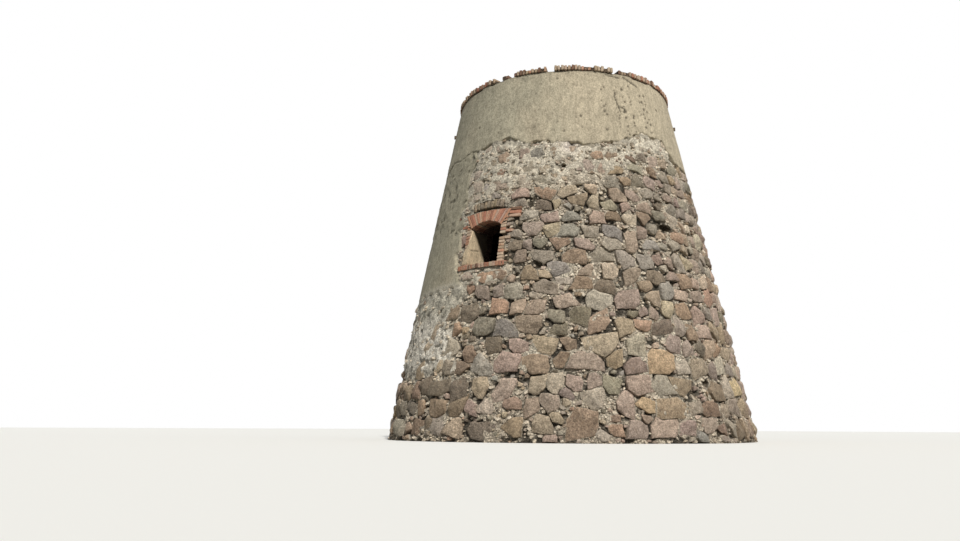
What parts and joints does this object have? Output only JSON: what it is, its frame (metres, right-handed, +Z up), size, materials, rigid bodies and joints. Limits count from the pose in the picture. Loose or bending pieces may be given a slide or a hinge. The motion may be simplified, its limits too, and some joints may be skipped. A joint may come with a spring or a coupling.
{
  "type": "ruined fieldstone windmill tower",
  "caption": "Hollow, tapering round windmill tower of fieldstone with a brick-arched window, patches of lime render and a broken brick crown, without its cap and sails.",
  "frame": {"origin": "the centre of the round base, on the ground", "axes": "+Z is up, along the tower's axis; -Y is the front, where the pictured window is; +X is to the right as the front is seen"},
  "size_m": [8.86, 8.86, 8.66],
  "materials": {
    "fieldstone": "matte",
    "grey_stone": "matte",
    "red_brick": "matte",
    "crown_brick": "matte",
    "lime_render": "matte",
    "old_timber": "matte"
  },
  "bodies": {
    "root": {"back_window_arch": "red_brick", "back_window_left_jamb": "red_brick", "back_window_right_jamb": "red_brick", "back_window_sill": "red_brick", "beam_ends": "old_timber", "brick_crown": "crown_brick", "doorway_arch": "red_brick", "doorway_left_jamb": "red_brick", "doorway_right_jamb": "red_brick", "doorway_threshold": "grey_stone", "first_floor_boards": "old_timber", "first_floor_joists": "old_timber", "front_window_arch": "red_brick", "front_window_left_jamb": "red_brick", "front_window_relieving_arch": "grey_stone", "front_window_right_jamb": "red_brick", "front_window_sill": "red_brick", "left_render": "lime_render", "lower_wall_back": "fieldstone", "lower_wall_back_left": "fieldstone", "lower_wall_back_right": "fieldstone", "lower_wall_front": "fieldstone", "lower_wall_front_left": "fieldstone", "lower_wall_front_right": "fieldstone", "lower_wall_left": "fieldstone", "lower_wall_right": "fieldstone", "middle_wall_back": "fieldstone", "middle_wall_back_left": "fieldstone", "middle_wall_back_right": "fieldstone", "middle_wall_front": "fieldstone", "middle_wall_front_left": "fieldstone", "middle_wall_front_right": "fieldstone", "middle_wall_left": "fieldstone", "middle_wall_right": "fieldstone", "second_floor_boards": "old_timber", "second_floor_joists": "old_timber", "upper_render": "lime_render", "upper_wall_back": "fieldstone", "upper_wall_back_left": "fieldstone", "upper_wall_back_right": "fieldstone", "upper_wall_front": "fieldstone", "upper_wall_front_left": "fieldstone", "upper_wall_front_right": "fieldstone", "upper_wall_left": "fieldstone", "upper_wall_right": "fieldstone"}
  },
  "joints": []
}
